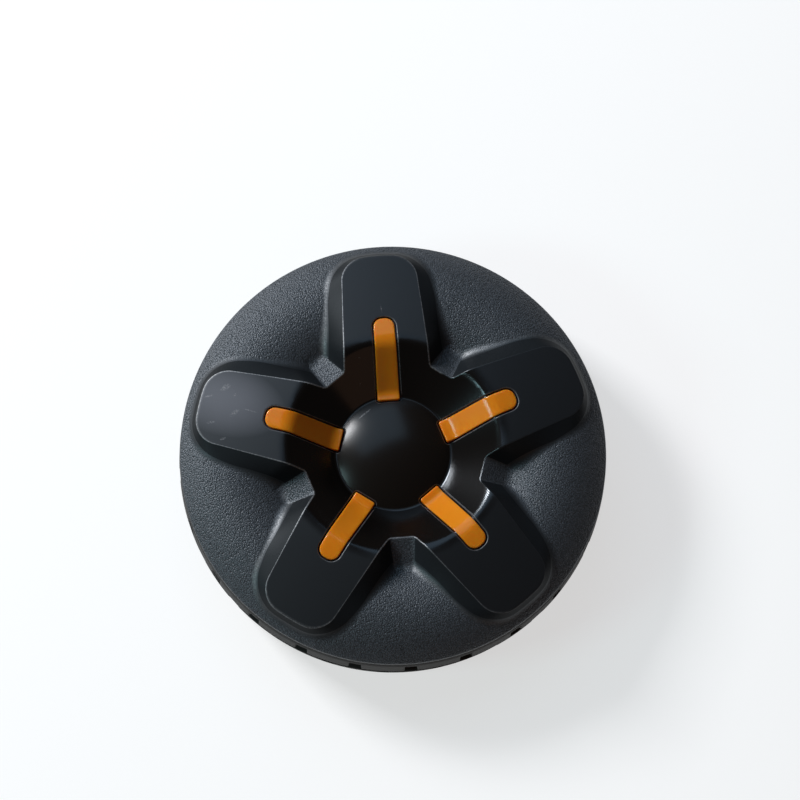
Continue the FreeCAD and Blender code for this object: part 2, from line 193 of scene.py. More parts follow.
# rows of an edge's or a foot's round between which its light line comes and goes
edgeLineRows = [-1, 1, 3, 5]
footLineRows = [1, 4, 6, 9]
lineShares = [0, 1, 1, 0]
grainedTurn = 2  # points of a valley's turn whose flank is grained in full
finishIndex = {"moulding": 0, "flank": 1, "dome": 2}


def lineCircleFillet(point, along, inward, centre, radius, fillet):
    # centre and both ends of the arc between a line that leaves a circle and the circle
    start = point + inward * fillet - centre
    forward = start @ along
    reach = math.sqrt(forward ** 2 - start @ start + (radius - fillet) ** 2) - forward
    middle = start + along * reach
    onCircle = centre + middle / np.linalg.norm(middle) * radius
    return middle + centre, middle + centre - inward * fillet, onCircle


creaseZ = tyreFront - coverForm["creaseDrop"]
crease = np.array([coverForm["creaseRadius"], creaseZ])
bowlEdge = np.array([coverForm["bowlEdgeRadius"], tyreFront + coverForm["bowlEdgeRise"]])
domeRound = (crease[0] ** 2 + coverForm["domeRise"] ** 2) / (2 * coverForm["domeRise"])
domeCentre = np.array([0.0, creaseZ + coverForm["domeRise"] - domeRound])
armDepth = (topStar["end"] ** 2 - bowlEdge[0] ** 2 + coverForm["armDrop"] ** 2) / (2 * coverForm["armDrop"])
armRound = math.hypot(bowlEdge[0], armDepth)  # ball that the arm tops lie on
armCentre = np.array([0.0, bowlEdge[1] - armDepth])
bowlUp = (bowlEdge - crease) / np.linalg.norm(bowlEdge - crease)
bowlIn = np.array([bowlUp[1], -bowlUp[0]])
creaseCentre, creaseStop, creaseStart = lineCircleFillet(
    crease, bowlUp, bowlIn, domeCentre, domeRound, -coverForm["creaseRound"])
edgeCentre, edgeStart, edgeStop = lineCircleFillet(
    crease, bowlUp, bowlIn, armCentre, armRound, coverForm["bowlEdgeRound"])
discCrown = (coverForm["discInner"] + coverRadius) / 2
discSag = coverForm["discRise"] - coverForm["discEdgeRise"]
discRound = ((coverRadius - discCrown) ** 2 + discSag ** 2) / (2 * discSag)
discCentreZ = tyreFront + coverForm["discRise"] - discRound


def arcHeight(radius, centre, size, sign=1):
    return centre[1] + sign * np.sqrt(np.maximum(size ** 2 - (radius - centre[0]) ** 2, 0))


def topHeight(radius):
    # dome, crease, bowl, bowl edge and arm top
    radius = np.asarray(radius, float)
    places = [radius < creaseStart[0], radius < creaseStop[0], radius < edgeStart[0], radius < edgeStop[0]]
    heights = [
        arcHeight(radius, domeCentre, domeRound),
        arcHeight(radius, creaseCentre, coverForm["creaseRound"], -1),
        creaseZ + (radius - crease[0]) * bowlUp[1] / bowlUp[0],
        arcHeight(radius, edgeCentre, coverForm["bowlEdgeRound"]),
    ]
    return np.select(places, heights, arcHeight(radius, armCentre, armRound))


def discHeight(radius):
    return arcHeight(np.asarray(radius, float), (discCrown, discCentreZ), discRound)


def arcPoints(centre, start, stop, count):
    first = math.atan2(*(start - centre)[::-1])
    sweep = (math.atan2(*(stop - centre)[::-1]) - first + math.pi) % (2 * math.pi) - math.pi
    angles = first + sweep * np.arange(1, count + 1) / count
    return centre + np.linalg.norm(start - centre) * np.stack([np.cos(angles), np.sin(angles)], 1)


def linePoints(start, stop, count):
    return start + (stop - start) * (np.arange(1, count + 1) / count)[:, None]


def halfOutline(star):
    # right half of an arm in plan, x to the right and y outwards, from the valley's middle to the arm's end
    half = math.pi / coverForm["armCount"]
    valleyOut = np.array([math.sin(half), math.cos(half)])
    valleyAlong = np.array([-math.cos(half), math.sin(half)])
    lean = (star["halfOut"] - star["halfIn"]) / (coverForm["halfRefOut"] - coverForm["halfRefIn"])
    sidePoint = np.array([star["halfIn"], coverForm["halfRefIn"]])
    sideAlong = np.array([lean, 1.0]) / math.hypot(lean, 1.0)
    inward = np.array([-sideAlong[1], sideAlong[0]])
    corner = sidePoint + sideAlong * (star["valley"] - sidePoint @ valleyOut) / (sideAlong @ valleyOut)
    tangent = star["turn"] * math.tan(math.acos(valleyAlong @ sideAlong) / 2)
    turnStart = corner - valleyAlong * tangent
    turnStop = corner + sideAlong * tangent
    endCentre, sideStop, endStart = lineCircleFillet(
        sidePoint, sideAlong, inward, np.zeros(2), star["end"], star["corner"])
    start = valleyOut * star["valley"]
    return np.vstack([
        start,
        linePoints(start, turnStart, outlineSteps["valley"]),
        arcPoints(turnStop - inward * star["turn"], turnStart, turnStop, outlineSteps["turn"]),
        linePoints(turnStop, sideStop, outlineSteps["side"]),
        arcPoints(endCentre, sideStop, endStart, outlineSteps["corner"]),
        arcPoints(np.zeros(2), endStart, np.array([0.0, star["end"]]), outlineSteps["end"]),
    ])


def onArms(points, index):
    # points of an arm's own plan (right, outwards) turned to their arm
    turn = math.radians(coverForm["firstArm"] + 360 / coverForm["armCount"] * index)
    right = np.array([math.sin(turn), -math.cos(turn)])
    out = np.array([math.cos(turn), math.sin(turn)])
    return points[:, :1] * right + points[:, 1:2] * out


def wholeOutline(star):
    right = halfOutline(star)
    arm = np.vstack([right, right[-2:0:-1] * [-1, 1]])
    return np.vstack([onArms(arm, index) for index in range(coverForm["armCount"])])


def unit(vectors):
    return vectors / np.linalg.norm(vectors, axis=1, keepdims=True)


def outwards(outline):
    along = np.roll(outline, -1, 0) - np.roll(outline, 1, 0)
    return unit(np.stack([along[:, 1], -along[:, 0]], 1))


def lifted(plan, height):
    return np.column_stack([plan, height(np.hypot(plan[:, 0], plan[:, 1]))])


def slopeAlong(plan, direction, height):
    # unit vector along a surface, in a plan direction
    step = 0.05
    return unit(lifted(plan + direction * step, height) - lifted(plan, height))


def rounded(before, corner, after, count):
    # rows of a smooth corner between two points
    shares = np.arange(1, count + 1) / count
    return [before * (1 - u) ** 2 + corner * 2 * u * (1 - u) + after * u ** 2 for u in shares]


def evenly(start, stop, count):
    # steps from a start, itself left out, to a stop
    return [start + (stop - start) * u for u in np.linspace(0, 1, count + 1)[1:]]


def polarRows(radii, angles, height):
    x, y = np.cos(angles), np.sin(angles)
    return [np.column_stack([r * x, r * y, np.broadcast_to(height(r), angles.shape)]) for r in radii]


def lineWearAndSheen(wear):
    # shares of a light line at the points along a star's outline
    sideStop = outlineSteps["valley"] + outlineSteps["turn"] + outlineSteps["side"]
    endStart = sideStop + outlineSteps["corner"]
    perArm = 2 * (endStart + outlineSteps["end"])
    places = [sideStop, endStart, perArm - endStart, perArm - sideStop]
    return np.concatenate([np.interp(np.arange(perArm), places, [right, end, end, left])
                           for right, end, left in wear])


def underRows(rows, lipInner):
    # some rows of the face again from the rim to the dome, a wall's thickness lower and inside the rim's lip
    picks, start = [], 0
    for zone, count in underSteps.items():
        picks += list(np.linspace(start, start + rowSteps[zone], count, endpoint=False).astype(int))
        start += rowSteps[zone]
    lowered = []
    for step, pick in enumerate(reversed(picks), 1):
        row = rows[pick] - [0, 0, coverForm["wall"]]
        radius = np.hypot(row[:, 0], row[:, 1])
        row[:, :2] *= np.minimum(1, lipInner / radius)[:, None]
        lipTop = tyreFront + coverForm["lipStep"] * step
        row[:, 2] = np.where(radius > lipInner - coverForm["wall"], np.maximum(row[:, 2], lipTop), row[:, 2])
        lowered.append(row)
    return lowered


def coverRows():
    # rows of points from the dome's middle over the rim to the middle of the underside
    topPlan, footPlan = wholeOutline(topStar), wholeOutline(footStar)
    edge, foot = lifted(topPlan, topHeight), lifted(footPlan, discHeight)
    flank = unit(foot - edge)
    top = slopeAlong(topPlan, outwards(topPlan), topHeight)
    disc = slopeAlong(footPlan, outwards(footPlan), discHeight)
    bends = [np.arccos(np.clip((a * b).sum(1), -1, 1))[:, None] / 2 for a, b in ((top, flank), (flank, disc))]
    edgeCut = coverForm["topEdgeRound"] * np.tan(bends[0])
    footCut = coverForm["footRound"] * np.tan(bends[1])
    beforeEdge = lifted((edge - top * edgeCut)[:, :2], topHeight)
    afterEdge = edge + flank * edgeCut
    beforeFoot = foot - flank * footCut
    afterFoot = lifted((foot + disc * footCut)[:, :2], discHeight)
    angles = np.arctan2(beforeEdge[:, 1], beforeEdge[:, 0])
    reach = np.hypot(beforeEdge[:, 0], beforeEdge[:, 1])
    domeRadii = creaseStart[0] * np.sin(np.linspace(0, math.pi / 2, rowSteps["dome"] + 1))[1:]
    creaseRadii = np.linspace(creaseStart[0], creaseStop[0], rowSteps["crease"] + 1)[1:]
    bowlRadii = evenly(creaseStop[0], reach, rowSteps["bowl"])
    rows = polarRows(list(domeRadii) + list(creaseRadii) + bowlRadii, angles, topHeight)
    topRows = len(rows)
    rows += rounded(beforeEdge, edge, afterEdge, rowSteps["edge"])
    rows += evenly(afterEdge, beforeFoot, rowSteps["flank"])
    flankRows = len(rows)
    rows += rounded(beforeFoot, foot, afterFoot, rowSteps["foot"])
    discAngles = np.arctan2(afterFoot[:, 1], afterFoot[:, 0])
    discReach = np.hypot(afterFoot[:, 0], afterFoot[:, 1])
    discRadii = evenly(discReach, coverRadius - coverForm["rimRound"], rowSteps["disc"])
    rows += polarRows(discRadii, discAngles, discHeight)
    circle = np.column_stack([np.cos(discAngles), np.sin(discAngles)])

    def ringAt(radius, height):
        return np.column_stack([circle * radius, np.full(len(circle), height)])

    rimTop = float(discHeight(coverRadius))
    rimSide = ringAt(coverRadius, rimTop - coverForm["rimRound"])
    rows += rounded(rows[-1], ringAt(coverRadius, rimTop), rimSide, rowSteps["rim"])
    lipInner = coverRadius - coverForm["wall"]
    rows += [ringAt(coverRadius, tyreFront), ringAt(lipInner, tyreFront)]
    rows += underRows(rows, lipInner)
    return rows, topRows, flankRows


def coverMasks(rowCount, topRows, flankRows):
    # shares of polish, light lines and grain at each row's points, and the finish of the faces after it
    number = np.arange(rowCount)[:, None]
    edgeRow, footRow = number - topRows + 1, number - flankRows + 1
    perArm = 2 * sum(outlineSteps.values())
    along = np.arange(perArm * coverForm["armCount"]) % perArm
    fromValley = np.minimum(along, perArm - along)
    turnStart = outlineSteps["valley"]
    notch = np.interp(fromValley, [turnStart + grainedTurn, turnStart + outlineSteps["turn"]], [1, 0])
    pastEdge = np.interp(edgeRow, [1, rowSteps["edge"]], [0, 1])
    pastFoot = np.interp(footRow, [1, rowSteps["foot"]], [0, 1])
    masks = {
        "polish": np.repeat(np.interp(edgeRow, [0, rowSteps["edge"]], [1, 0]), len(along), 1),
        "edge": np.interp(edgeRow, edgeLineRows, lineShares) * lineWearAndSheen(edgeWearAndHighlight),
        "foot": np.interp(footRow, footLineRows, lineShares) * lineWearAndSheen(footWear),
        "grain": np.maximum(pastFoot, pastEdge * notch),
    }
    flankFaces = (edgeRow >= rowSteps["edge"]) & (footRow < 0) & (notch < 0.5)
    domeFaces = number < rowSteps["dome"]
    choices = [finishIndex["flank"], finishIndex["dome"]]
    return masks, np.select([flankFaces, domeFaces], choices, finishIndex["moulding"])


def makeCover(finishes):
    rows, topRows, flankRows = coverRows()
    masks, faceFinishes = coverMasks(len(rows), topRows, flankRows)
    count = len(rows[0])
    points = np.vstack(rows + [[[0, 0, topHeight(0)]], [[0, 0, topHeight(0) - coverForm["wall"]]]])
    topMiddle, underMiddle = len(points) - 2, len(points) - 1
    faces = []
    for k in range(count):
        n = (k + 1) % count
        faces.append((topMiddle, k, n))
        for row in range(len(rows) - 1):
            a, b = row * count, (row + 1) * count
            faces.append((a + k, b + k, b + n, a + n))
        last = (len(rows) - 1) * count
        faces.append((last + k, underMiddle, last + n))
    cover = addPiece("cover_shell", points, faces, finishes[0], "cover")
    for name, values in masks.items():
        setMask(cover.data, name, np.append(values.ravel(), [values[0, 0], values[-1, 0]]))
    for finish in finishes[1:]:
        cover.data.materials.append(finish.material)
    slots = np.zeros((count, len(rows) + 1), np.int32)
    slots[:, 0] = faceFinishes[0]
    slots[:, 1:-1] = faceFinishes[:-1].T
    cover.data.polygons.foreach_set("material_index", slots.ravel())
    return cover


def applyTool(piece, tool, operation):
    # cuts a tool out of a piece, or unites the two, and deletes the tool
    modifier = piece.modifiers.new("tool", "BOOLEAN")
    modifier.object = tool
    modifier.operation = operation
    modifier.solver = "MANIFOLD"
    depsgraph = bpy.context.evaluated_depsgraph_get()
    result = bpy.data.meshes.new_from_object(piece.evaluated_get(depsgraph))
    piece.modifiers.remove(modifier)
    piece.data = result
    bpy.data.objects.remove(tool)


# snap hooks under the arms: sizes in millimetres
hookForm = {"inner": 74.0, "thick": 2.4, "width": 9.0, "barb": 1.6, "catch": 17.8, "nose": 5.0}


def addHooks(cover):
    inner, low = hookForm["inner"], hookForm["catch"] - hookForm["nose"]
    outer, catch = inner + hookForm["thick"], hookForm["catch"]
    tip = outer + hookForm["barb"]
    top = float(topHeight(outer)) - coverForm["wall"] / 2
    section = [(inner, top), (inner, low), (outer, low), (tip, catch - hookForm["barb"] / 2), (tip, catch),
               (outer, catch), (outer, top)]
    count = len(section)
    points, faces = [], []
    for index in range(coverForm["armCount"]):
        start = len(points)
        for side in (0.5, -0.5):
            plan = onArms(np.array([[side * hookForm["width"], out] for out, height in section]), index)
            points += [(*place, height) for place, (out, height) in zip(plan, section)]
        faces += [[start + k for k in range(count)], [start + 2 * count - 1 - k for k in range(count)]]
        faces += [[start + (k + 1) % count, start + k, start + count + k, start + count + (k + 1) % count]
                  for k in range(count)]
    hooks = addPiece("cover_hooks", points, faces)
    for material in cover.data.materials:
        hooks.data.materials.append(material)
    finishes = np.full(len(faces), finishIndex["flank"], np.int32)
    hooks.data.polygons.foreach_set("material_index", finishes)
    applyTool(cover, hooks, "UNION")


# orange bars and their slots: sizes in millimetres, heights above the cover's own surface
barForm = {
    "inner": 25.4, "outer": 61.5, "halfInner": 5.25, "halfOuter": 4.9, "innerRound": 0.8, "endRound": 4.2,
    "proud": 0.2, "foot": -1.6, "edgeRound": 0.5, "slotGap": 0.8, "slotDepth": 1.8, "slotLip": 0.5,
    "edgeBend": 10.0, "lipStart": 29.6, "lipSlope": 0.08, "lipSoft": 0.4,
    # slot lips: their share of the edge line, a painted highlight in colour plus coat
    "slotLift": 0.01, "slotMargin": 1.0, "slotLipHighlight": 0.5,
    "across": 7, "along": 40, "cornerSteps": 9, "roundSteps": 5, "sharpDegrees": 50,
}


def barStations(gap):
    # half outline of a bar, or of its slot: distance from the axis and half width
    inner, outer = barForm["inner"] - gap, barForm["outer"] + gap
    halfInner, halfOuter = barForm["halfInner"] + gap, barForm["halfOuter"] + gap
    small, large = barForm["innerRound"] + gap, barForm["endRound"] + gap
    quarter = np.linspace(0, math.pi / 2, barForm["cornerSteps"])
    near = np.column_stack([inner + small * (1 - np.cos(quarter)), halfInner - small * (1 - np.sin(quarter))])
    far = np.column_stack([outer - large * (1 - np.sin(quarter)), halfOuter - large * (1 - np.cos(quarter))])
    return np.vstack([near, linePoints(near[-1], far[0], barForm["along"])[:-1], far])


barEdgeCentre, barEdgeStart, barEdgeStop = lineCircleFillet(
    crease, bowlUp, bowlIn, armCentre, armRound, barForm["edgeBend"])


def barHeight(radius):
    # the cover's surface with a wider bend at the bowl's edge and a lip that turns level over the crease
    inEdge = (radius > barEdgeStart[0]) & (radius < barEdgeStop[0])
    surface = np.where(inEdge, arcHeight(radius, barEdgeCentre, barForm["edgeBend"]), topHeight(radius))
    lip = topHeight(barForm["lipStart"]) + (barForm["lipStart"] - radius) * barForm["lipSlope"]
    return (surface + lip) / 2 + np.hypot((surface - lip) / 2, barForm["lipSoft"])


def barLayer(gap, height, index, surface=topHeight):
    # grid of points over a bar's plan, at a height above a surface
    stations = barStations(gap)
    shares = np.linspace(1, -1, barForm["across"] + 1)
    plan = np.array([[half * share, out] for out, half in stations for share in shares])
    layer = lifted(onArms(plan, index), surface)
    layer[:, 2] += height
    return layer.reshape(len(stations), len(shares), 3)


def aroundGrid(rows, columns):
    # indices along the border of a grid of points
    left = [(row, 0) for row in range(rows)]
    far = [(rows - 1, column) for column in range(1, columns)]
    right = [(row, columns - 1) for row in range(rows - 2, -1, -1)]
    near = [(0, column) for column in range(columns - 2, 0, -1)]
    return left + far + right + near


def slab(layers):
    # closed solid from a bottom layer, borders of the layers between, and a top layer
    rows, columns = layers[0].shape[:2]
    around = aroundGrid(rows, columns)
    flat = np.arange(rows * columns).reshape(rows, columns)
    points = [layers[0].reshape(-1, 3)]
    loops = [[flat[place] for place in around]]
    for layer in layers[1:-1]:
        start = sum(map(len, points))
        points.append(np.array([layer[place] for place in around]))
        loops.append(list(range(start, start + len(around))))
    topStart = sum(map(len, points))
    points.append(layers[-1].reshape(-1, 3))
    loops.append([topStart + flat[place] for place in around])
    faces = []
    for row in range(rows - 1):
        for column in range(columns - 1):
            quad = [*flat[row, column:column + 2], *flat[row + 1, column:column + 2][::-1]]
            faces.append([int(v) for v in quad])
            faces.append([int(topStart + v) for v in reversed(quad)])
    for low, high in zip(loops, loops[1:]):
        for k in range(len(around)):
            n = (k + 1) % len(around)
            faces.append([int(v) for v in (low[k], low[n], high[n], high[k])])
    return np.vstack(points), faces


def barLayers(index):
    turns = np.linspace(0, math.pi / 2, barForm["roundSteps"])
    soft = barForm["edgeRound"]
    rims = [barLayer(-soft * (1 - math.cos(a)), barForm["proud"] - soft * (1 - math.sin(a)), index, barHeight)
            for a in turns]
    return [barLayer(0, barForm["foot"], index)] + rims


def slotLayers(index):
    # floor, rounded lip, and a top clear of the cover
    gap, lip, margin = barForm["slotGap"], barForm["slotLip"], barForm["slotMargin"]
    turns = np.linspace(0, math.pi / 2, barForm["roundSteps"])
    floor = barLayer(gap, -barForm["slotDepth"], index)
    lips = [barLayer(gap + lip * (1 - math.cos(a)), lip * (math.sin(a) - 1) + barForm["slotLift"], index)
            for a in turns]
    return [floor] + lips + [barLayer(gap + margin + lip, margin, index)]


def makeBars(finish):
    for index in range(coverForm["armCount"]):
        bar = addPiece("orange_bar_%d" % (index + 1), *slab(barLayers(index)), finish, "accent")
        smoothShade(bar.data, barForm["sharpDegrees"])
        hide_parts("accent_insert_%d" % (index + 1))


def cutSlots(cover):
    points, faces, start = [], [], 0
    for index in range(coverForm["armCount"]):
        more, rings = slab(slotLayers(index))
        points.append(more)
        faces += [[start + v for v in ring] for ring in rings]
        start += len(more)
    tool = addPiece("slot_tool", np.vstack(points), faces)
    floorPoints = barLayer(0, 0, 0)[..., 0].size
    onLip = np.arange(len(more)) >= floorPoints
    # the slot lips take the edge line: a lighter colour as painted highlight, and coat
    masks = {"polish": 1.0, "edge": onLip * barForm["slotLipHighlight"], "foot": 0.0, "grain": 0.0}
    for name, values in masks.items():
        setMask(tool.data, name, np.tile(np.broadcast_to(values, len(more)), coverForm["armCount"]))
    applyTool(cover, tool, "DIFFERENCE")


# rubber tyre: sizes in millimetres, places on the tread measured from its middle and from a slot's middle
treadForm = {
    "crown": 102.0, "shoulderDrop": 1.0, "shoulderWidth": 4.0, "shoulderBlend": 1.6, "sideDrop": 3.5,
    "blockCount": 24, "slotHalf": 3.0, "floorDrop": 3.5, "centreHalf": 1.5, "shoulderRing": 6.0,
    "inner": 91.7, "ribHalf": 3.2, "ribDepth": 1.5,
    "wallPlaces": (-0.45, -0.35, 0.0, 0.12, 0.3, 0.6), "wallShares": (1.0, 0.95, 0.16, 0.07, 0.02, 0.0),
    "blockSteps": 6, "shoulderSteps": 10, "pastWall": 1.2, "sharpDegrees": 50,
}
tyreHalf = (tyreFront - tyreBack) / 2
tyreMiddle = (tyreFront + tyreBack) / 2


def grooveShare(beyond):
    # 1 on a groove's floor, 0 on the block, by the distance outside the groove's edge
    return np.interp(beyond, treadForm["wallPlaces"], treadForm["wallShares"])


def treadRadius(aside):
    # tread without grooves at a distance from its middle, the shoulder's bend eased
    shoulder = tyreHalf - treadForm["shoulderWidth"]
    slopeIn = -treadForm["shoulderDrop"] / shoulder
    slopeOut = -(treadForm["sideDrop"] - treadForm["shoulderDrop"]) / treadForm["shoulderWidth"]
    blend = treadForm["shoulderBlend"]
    past = np.clip(aside - shoulder + blend, 0, 2 * blend)
    eased = past ** 2 / (4 * blend) + np.maximum(aside - shoulder - blend, 0)
    return treadForm["crown"] + slopeIn * aside + (slopeOut - slopeIn) * eased


def treadRows():
    # places across half the tread, from its middle to its side, close together at the walls
    walls = np.array(treadForm["wallPlaces"])
    slotEnd = tyreHalf - treadForm["shoulderRing"]
    blockStart = treadForm["centreHalf"] + walls[-1]
    block = np.linspace(blockStart, slotEnd + walls[0], treadForm["blockSteps"])[1:-1]
    shoulder = np.linspace(slotEnd + walls[-1], tyreHalf, treadForm["shoulderSteps"])[1:]
    return np.concatenate([[0.0], treadForm["centreHalf"] + walls, block, slotEnd + walls, shoulder])


def treadColumns(pitch):
    # places along half a pitch, from a slot's middle in one row to the next slot's middle in the other row
    walls = treadForm["slotHalf"] + np.array(treadForm["wallPlaces"])
    near = np.concatenate([[0.0, walls[0] / 2], walls, [walls[-1] + treadForm["pastWall"]]])
    return np.concatenate([near, [pitch / 4], pitch / 2 - near[:0:-1]])


def makeTread(finish):
    pitch = 2 * math.pi * treadForm["crown"] / treadForm["blockCount"]
    halfPitch = treadColumns(pitch)
    places = np.concatenate([halfPitch + pitch / 2 * k for k in range(2 * treadForm["blockCount"])])
    half = treadRows()
    across = np.concatenate([-half[:0:-1], half])[:, None]
    aside = np.abs(across)
    stagger = np.where(across < 0, pitch / 2, 0.0)
    toSlot = np.abs((places + stagger + pitch / 2) % pitch - pitch / 2)
    slotEnd = tyreHalf - treadForm["shoulderRing"]
    slot = grooveShare(np.maximum(toSlot - treadForm["slotHalf"], aside - slotEnd))
    share = np.maximum(slot, grooveShare(aside - treadForm["centreHalf"]))
    block = treadRadius(aside)
    floor = np.minimum(block, treadForm["crown"] - treadForm["floorDrop"])
    radius = block + (floor - block) * share
    inner, rib = treadForm["inner"], treadForm["ribHalf"]
    ribInner = inner - treadForm["ribDepth"]
    inside = [(inner, tyreHalf), (inner, rib), (ribInner, rib),
              (ribInner, -rib), (inner, -rib), (inner, -tyreHalf)]
    radius = np.vstack([radius] + [np.full(len(places), size) for size, height in inside])
    heights = np.concatenate([across[:, 0], [height for size, height in inside]]) + tyreMiddle
    angles = places / treadForm["crown"]
    grid = [radius * np.cos(angles), radius * np.sin(angles), np.broadcast_to(heights[:, None], radius.shape)]
    points = np.stack(grid, 2).reshape(-1, 3)
    number = np.arange(radius.size).reshape(radius.shape)
    right = np.roll(number, -1, 1)
    quads = np.stack([number, right, np.roll(right, -1, 0), np.roll(number, -1, 0)], 2)
    tread = addPiece("rubber_tyre", points, quads.reshape(-1, 4).tolist(), finish, "tyre")
    tops = np.vstack([1 - share, np.zeros((len(inside), len(places)))])
    setMask(tread.data, "tops", tops.ravel())
    smoothShade(tread.data, treadForm["sharpDegrees"])
    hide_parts("tyre")
    print("tyre:", len(tread.data.polygons), "faces")


# finishes: a noise is given by scale, detail and roughness, a bump by strength and depth in metres,
# and a value that a pattern raises by its start and gain
coverLooks = {
    "shader": {"IOR": 1.5, "Specular_Tint": (0.86, 0.93, 1.0, 1), "Coat_Roughness": 0.5, "Coat_IOR": 2.2},
    "star": (0.0020, 0.0022, 0.0028, 1), "starRough": 0.46,
    "bowl": (0.0026, 0.0021, 0.0018, 1), "bowlRough": 0.15,
    "flank": (0.0075, 0.0090, 0.0105, 1), "flankRough": 0.46,
    "discDark": (0.024, 0.027, 0.031, 1), "discLight": (0.066, 0.071, 0.081, 1), "discRough": 0.40,
    "grainScale": 1450.0, "grainStops": [(0.80, 0.0), (0.97, 1.0)], "grainBump": (0.68, 0.00036),
    "cloud": (22.0, 3.0, 0.5), "cloudRough": 0.04,
    # the edge colour and its share paint a lighter line along the star's edges: partly edge wear, partly
    # painted highlight
    "edge": (0.11, 0.11, 0.115, 1), "edgeHighlightShare": (0.4, 0.6), "edgeCoat": (0.3, 0.6), "footCoat": (0.2, 0.6),
    # the sheen colour and its share paint a painted sheen on arm 2's top; the scuff colour is real wear
    "armSheen": (0.085, 0.084, 0.096, 1), "armSheenShare": (0.55, 0.6), "scuff": (0.17, 0.165, 0.17, 1),
    "broken": (1300.0, 2.0, 0.6), "brokenStops": [(0.38, 0.0), (0.64, 1.0)],
    "glossReach": 100.0,  # millimetres from the axis at which a stop's place is 1
    "glossStops": [(0.268, 0.0), (0.276, 1.0), (0.49, 1.0), (0.55, 0.0)],
}
# scuffs on the arm tops: place in millimetres, direction in degrees, half length and half width
scuffs = [
    (-76.5, 34.8, 20, 3.0, 1.6), (-72.2, 30.7, 60, 0.9, 0.6), (-84.5, 31.5, 5, 2.6, 0.6),
    (-84.4, 18.7, 0, 2.2, 0.7), (-79.2, 10.3, 12, 1.6, 0.6), (-65.9, 22.4, -22, 4.0, 0.3),
    (-0.5, 66.4, -85, 2.4, 0.25), (-12.7, 43.8, 0, 0.5, 0.4), (-13.2, 32.9, 70, 0.7, 0.35),
    (-73.0, 22.0, 30, 3.0, 1.2),
]
domeScuff = (-12.3, 19.4, 35, 4.5, 0.5)
armSheenSpot = (-76.0, 28.0, 160, 28.0, 17.0)  # painted sheen on arm 2's top, a lighter patch that stands in for a reflection; same measures


def spot(finish, x, y, mark):
    # 1 in the middle of an oval mark, 0 at its border and outside
    middleX, middleY, degrees, halfLength, halfWidth = mark
    turn = math.radians(degrees)
    right, up = x - middleX * mm, y - middleY * mm
    along = right * (math.cos(turn) / (halfLength * mm)) + up * (math.sin(turn) / (halfLength * mm))
    across = up * (math.cos(turn) / (halfWidth * mm)) - right * (math.sin(turn) / (halfWidth * mm))
    return finish.add("ShaderNodeMath", {"operation": "MAXIMUM"}, [1 - along * along - across * across, 0.0])


def raised(pattern, start, gain):
    return start + pattern * gain


def brokenUp(finish):
    # fine patches that break up scuffs and light lines
    return finish.ramp(finish.noise(*coverLooks["broken"]), coverLooks["brokenStops"])


def coverFinish():
    looks = coverLooks
    finish = Finish("black_moulding", **looks["shader"])
    polish, edge, foot, grained = (finish.attribute(name) for name in ("polish", "edge", "foot", "grain"))
    x, y = finish.plan()
    radius = (x * x + y * y) ** 0.5 * (1 / (looks["glossReach"] * mm))
    bowl = finish.ramp(radius, looks["glossStops"]) * polish
    cells = {"Vector": finish.place(), "Scale": looks["grainScale"], "Randomness": 1.0}
    away = finish.add("ShaderNodeTexVoronoi", {"feature": "F1"}, cells)
    grain = 1 - away * away
    cloud = finish.noise(*looks["cloud"])
    specks = finish.ramp(grain, looks["grainStops"])
    disc = finish.mix(specks, looks["discDark"], looks["discLight"])
    smooth = finish.mix(polish, looks["flank"], finish.mix(bowl, looks["star"], looks["bowl"]))
    wear = 0.0
    for mark in scuffs:
        wear = spot(finish, x, y, mark) + wear
    broken = brokenUp(finish)
    # painted sheen: a lighter patch on arm 2's top stands in for the sky's reflection
    armSheen = spot(finish, x, y, armSheenSpot) * polish * raised(cloud, *looks["armSheenShare"])
    colour = finish.mix(armSheen, finish.mix(grained, smooth, disc), looks["armSheen"])
    # painted highlight: the star's edge line is made lighter in colour, partly edge wear and partly a painted
    # highlight of the edge's round
    colour = finish.mix(edge * raised(broken, *looks["edgeHighlightShare"]), colour, looks["edge"])
    colour = finish.mix(wear * broken * polish, colour, looks["scuff"])
    rough = looks["flankRough"] + polish * (looks["starRough"] - looks["flankRough"])
    rough = rough + grained * (looks["discRough"] - looks["flankRough"])
    rough = rough + bowl * (looks["bowlRough"] - looks["starRough"])
    edgeCoat = edge * raised(broken, *looks["edgeCoat"])
    finish.set(
        Base_Color=colour,
        Roughness=rough + cloud * looks["cloudRough"],
        Coat_Weight=edgeCoat + foot * raised(broken, *looks["footCoat"]),
        Normal=finish.bump(grain * grained, *looks["grainBump"]),
    )
    return finish


domeLooks = {
    "shader": {"Specular_IOR_Level": 0.37}, "base": (0.0055, 0.0042, 0.0034, 1),
    "rough": (0.21, 0.05), "cloud": (60.0, 3.0, 0.5),
}


def domeFinish():
    finish = Finish("glossy_dome", **domeLooks["shader"])
    x, y = finish.plan()
    scuffed = spot(finish, x, y, domeScuff) * brokenUp(finish)
    finish.set(
        Base_Color=finish.mix(scuffed, domeLooks["base"], coverLooks["scuff"]),
        Roughness=raised(finish.noise(*domeLooks["cloud"]), *domeLooks["rough"]),
    )
    return finish


